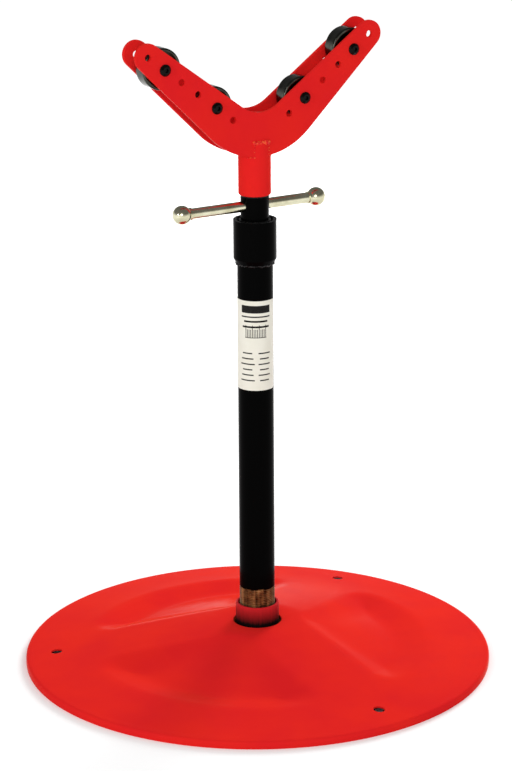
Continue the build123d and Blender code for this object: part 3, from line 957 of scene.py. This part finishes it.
def make_label():
    """Plain off-white label wrapped round the front of the post."""
    label = add_wrapped_sheet(
        0, 0, LABEL_WIDTH, LABEL_HEIGHT, LABEL_LIFT, LABEL_THICKNESS, LABEL_CORNER
    )
    settle(label, "blank_label", "stand", FINISHES["label_film"])


def make_label_print():
    """Generic print on the label: a bar and rules, a scale of plain ticks and rows of dashes."""
    marks = []

    def mark(across, drop, width, height):
        """Printed mark with its middle across from the print's middle line."""
        marks.append(add_wrapped_sheet(
            PRINT_ACROSS + across, LABEL_HEIGHT / 2 - drop, width, height,
            LABEL_LIFT + LABEL_THICKNESS, PRINT_THICKNESS
        ))

    mark(0, HEADER_DROP, HEADER_WIDTH, HEADER_HEIGHT)
    mark(0, HEADER_DROP + HEADER_HEIGHT, HEADER_WIDTH, HEADER_RULE)
    for k in range(SCALE_TICKS):
        place = (k - (SCALE_TICKS - 1) / 2) * SCALE_PITCH
        length = SCALE_SHORT if k % SCALE_LONG_EVERY else SCALE_LONG
        mark(place, SCALE_DROP - length / 2, PRINT_LINE, length)
    mark(0, SCALE_DROP, SCALE_PITCH * SCALE_TICKS, PRINT_LINE)
    for k, share in enumerate(TITLE_SHARES):
        mark(0, TITLE_DROP + k * ROW_PITCH, HEADER_WIDTH * share, TITLE_LINE)
    column = HEADER_WIDTH / 4 + ROW_DASH
    for k in range(ROW_COUNT):
        drop = ROWS_DROP + k * ROW_PITCH
        left = LEFT_DASH_SHARES[k % len(LEFT_DASH_SHARES)]
        right = RIGHT_DASH_SHARES[k % len(RIGHT_DASH_SHARES)]
        mark(-column, drop, HEADER_WIDTH * left, ROW_DASH)
        mark(column, drop, HEADER_WIDTH * right, ROW_DASH)
    printing = join_pieces(marks, "label_print")
    settle(printing, "label_print", "stand", FINISHES["label_ink"])


# Welds

def add_weld_bead(points):
    """Weld bead of overlapping scales fused together, from the place and radius of each scale."""
    scales = []
    for k, (place, scale_radius) in enumerate(points):
        uneven = WELD_UNEVEN * noise.noise(Vector((WELD_UNEVEN_STEP * k, *WELD_UNEVEN_LANE)))
        wander = WELD_WANDER * noise.noise_vector(Vector((WELD_WANDER_STEP * k, *WELD_WANDER_LANE)))
        clear_selection()
        bpy.ops.mesh.primitive_uv_sphere_add(
            segments=WELD_SCALE_SEGMENTS, ring_count=WELD_SCALE_RINGS,
            radius=scale_radius * (1 + uneven), location=place + wander
        )
        scales.append(bpy.context.object)
    bead = join_pieces(scales, "bead")
    fuse = bead.modifiers.new("Fuse", "REMESH")
    fuse.mode = "VOXEL"
    fuse.voxel_size = WELD_VOXEL
    smooth = bead.modifiers.new("Smooth", "SMOOTH")
    smooth.factor = 0.5
    smooth.iterations = 1
    apply_modifiers(bead)
    return bead


def make_coupling_weld():
    """Weld bead between the coupling's foot and the post."""
    radius = POST_RADIUS + COUPLING_WELD_OUT
    count = round(2 * pi * radius / COUPLING_WELD_PITCH)
    points = []
    for k in range(count):
        turn = 2 * pi * k / count
        height = coupling_low.z + COUPLING_WELD_RISE
        place = Vector((radius * cos(turn), radius * sin(turn), height))
        points.append((place, COUPLING_WELD_SCALE))
    bead = add_weld_bead(points)
    settle(
        bead, "coupling_weld_bead", "stand", FINISHES["black_weld"], WELD_SMOOTH_ANGLE
    )
    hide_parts("coupling_weld")


def neck_weld_path(side):
    """Corners of the weld on one plate: along its belly, up the neck, over its end and down."""
    half_chord = sqrt(NECK_RADIUS**2 - PLATE_OUTER**2)
    corners = []
    for end, order in ((-1, 1), (1, -1)):
        belly = []
        for k in range(BELLY_WELD_STEPS + 1):
            x = BELLY_WELD_REACH + (half_chord - BELLY_WELD_REACH) * k / BELLY_WELD_STEPS
            rise = BELLY_RADIUS - sqrt(BELLY_RADIUS**2 - x * x)
            height = front_low.z + rise - NECK_WELD_SCALE / 2
            belly.append(Vector((end * x, side * sqrt(NECK_RADIUS**2 - x * x), height)))
        belly.append(Vector((end * half_chord, side * PLATE_OUTER, neck_high.z)))
        corners += belly[::order]
    return corners


def spread_points(corners, pitch):
    """Points about one pitch apart along straight runs between corners."""
    points = []
    for first, second in zip(corners, corners[1:]):
        count = max(round((second - first).length / pitch), 1)
        points += [first.lerp(second, k / count) for k in range(count)]
    return points + [corners[-1]]


def neck_weld_scale(place):
    """Radius of a weld scale: largest over the neck's end and smallest up its sides."""
    if place.z > neck_high.z - NECK_END_SCALE:
        return NECK_END_SCALE
    if abs(place.y) > PLATE_OUTER + NECK_WELD_SCALE / 2:
        return NECK_WELD_SCALE
    return NECK_SIDE_SCALE


def make_neck_welds():
    """Weld beads that join the neck to the plates."""
    beads = []
    for side in (-1, 1):
        places = spread_points(neck_weld_path(side), NECK_WELD_PITCH)
        beads.append(add_weld_bead([(place, neck_weld_scale(place)) for place in places]))
    weld = join_pieces(beads, "neck_weld_beads")
    settle(
        weld, "neck_weld_beads", "head", FINISHES["weld_paint"], WELD_SMOOTH_ANGLE
    )
    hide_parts("neck_welds")


# Vector noise, which the welds use, starts from the clock unless it has a seed
noise.seed_set(WELD_WANDER_SEED)
dress_cad_nodes()
make_pressed_dish()
make_collar()
make_bare_post()
make_post_paint()
make_lift_screw()
make_label()
make_label_print()
make_coupling_weld()
make_neck_welds()


# Stage, light and camera

def add_seen_rays(tree):
    """Two values: one for rays off a mirror or through glass, and one for the camera's."""
    rays = tree.nodes.new("ShaderNodeLightPath")
    mirrored = add_math(
        tree, "MAXIMUM", rays.outputs["Is Glossy Ray"], rays.outputs["Is Transmission Ray"]
    )
    return mirrored, rays.outputs["Is Camera Ray"]


def make_stage():
    """Pale floor that the camera and the polished pieces see as white, with the stand's shadow."""
    clear_selection()
    bpy.ops.mesh.primitive_plane_add(size=FLOOR_SIZE)
    floor = bpy.context.object
    floor.name = "floor"
    material, tree, shader = new_finish("floor_paint", FLOOR_TONE, 0.9, specular=0.0)
    mirrored, seen = add_seen_rays(tree)
    away = add_length(tree, object_place(tree), (1, 1, 0))
    near = add_range(tree, away, RIM_RADIUS - FLOOR_FADE, RIM_RADIUS + FLOOR_FADE, 0.0, NEAR_GLOW)
    far = add_range(tree, away, FLOOR_NEAR, FLOOR_FAR, 0.0, FAR_GLOW - NEAR_GLOW)
    visible = add_math(tree, "MAXIMUM", mirrored, seen)
    glow = add_math(tree, "MULTIPLY", add_math(tree, "ADD", near, far), visible)
    shader.inputs["Emission Color"].default_value = (1, 1, 1, 1)
    tree.links.new(glow, shader.inputs["Emission Strength"])
    floor.data.materials.append(material)


def make_light(name, place, size, power, aim, mirrored=True):
    """Round soft lamp. One that isn't mirrored leaves no glare on the glossy dish."""
    lamp = bpy.data.lights.new(name, "AREA")
    lamp.shape = "DISK"
    lamp.size = size
    lamp.energy = power
    holder = bpy.data.objects.new(name, lamp)
    bpy.context.scene.collection.objects.link(holder)
    holder.location = place
    holder.visible_glossy = mirrored
    holder.rotation_euler = (Vector(aim) - Vector(place)).to_track_quat("-Z", "Y").to_euler()


def make_world():
    """Even soft light, seen as white, with white walls and a darker ceiling in the mirrors."""
    world = bpy.data.worlds.new("studio")
    bpy.context.scene.world = world
    world.use_nodes = True
    tree = world.node_tree
    direction = tree.nodes.new("ShaderNodeTexCoord")
    height = add_part(tree, direction.outputs["Generated"], "Z")
    ceiling = add_range(tree, height, WALL_TOP, CEILING_EDGE, 1.0, CEILING_LIGHT)
    mirrored, seen = add_seen_rays(tree)
    above_soft = add_math(tree, "SUBTRACT", ceiling, SOFT_LIGHT)
    in_mirror = add_math(tree, "MULTIPLY", above_soft, mirrored)
    level = add_math(tree, "MAXIMUM", add_math(tree, "ADD", in_mirror, SOFT_LIGHT), seen)
    background = tree.nodes["Background"]
    background.inputs["Color"].default_value = (1, 1, 1, 1)
    tree.links.new(level, background.inputs["Strength"])


def make_camera():
    """Camera at the photograph's place."""
    lens = bpy.data.cameras.new("camera")
    lens.lens = FOCAL_LENGTH
    lens.sensor_width = IMAGE_LONG_SIDE
    lens.clip_end = CAMERA_REACH
    camera = bpy.data.objects.new("camera", lens)
    bpy.context.scene.collection.objects.link(camera)
    aim = (CAMERA_AIM - CAMERA_PLACE).to_track_quat("-Z", "Y")
    camera.rotation_mode = "QUATERNION"
    camera.rotation_quaternion = aim @ Quaternion((0, 0, 1), CAMERA_ROLL)
    camera.location = CAMERA_PLACE
    bpy.context.scene.camera = camera


make_stage()
make_world()
make_light("key", place=(2.2, 1.6, 1.25), size=1.2, power=70, aim=(0, 0, 0.1), mirrored=False)
make_light("fill", place=(-1.8, -2.8, 1.6), size=1.6, power=25, aim=(0, 0, 0.45))
make_light("side", place=(-3.2, -0.9, 1.3), size=0.5, power=16, aim=(0, 0, 0.4))
make_camera()
bpy.context.scene.view_settings.view_transform = "Standard"
